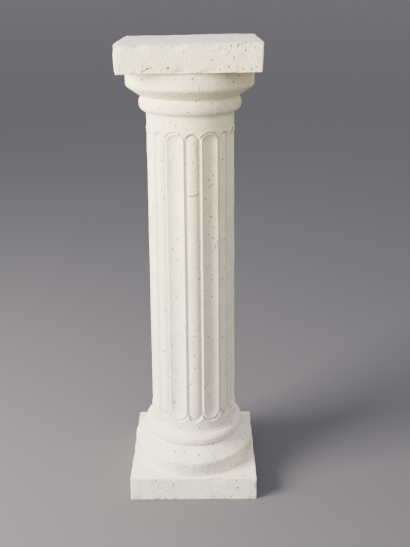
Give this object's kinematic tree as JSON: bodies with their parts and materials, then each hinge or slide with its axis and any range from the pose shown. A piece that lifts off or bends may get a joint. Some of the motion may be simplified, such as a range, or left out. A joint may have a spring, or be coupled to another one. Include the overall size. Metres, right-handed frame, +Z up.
{
  "type": "column pedestal",
  "caption": "Free-standing Doric column in pale cast stone, with a square plinth, round base, fluted and reeded shaft, and a square flat top to stand things on.",
  "frame": {"origin": "middle of the plinth's underside, which stands on the floor", "axes": "+Z up along the shaft, +X and +Y square to the sides of the plinth, the pictured front facing -Y"},
  "size_m": [0.287, 0.287, 1],
  "materials": {
    "cast_stone": "matte"
  },
  "bodies": {
    "root": {"column": "cast_stone"}
  },
  "joints": []
}
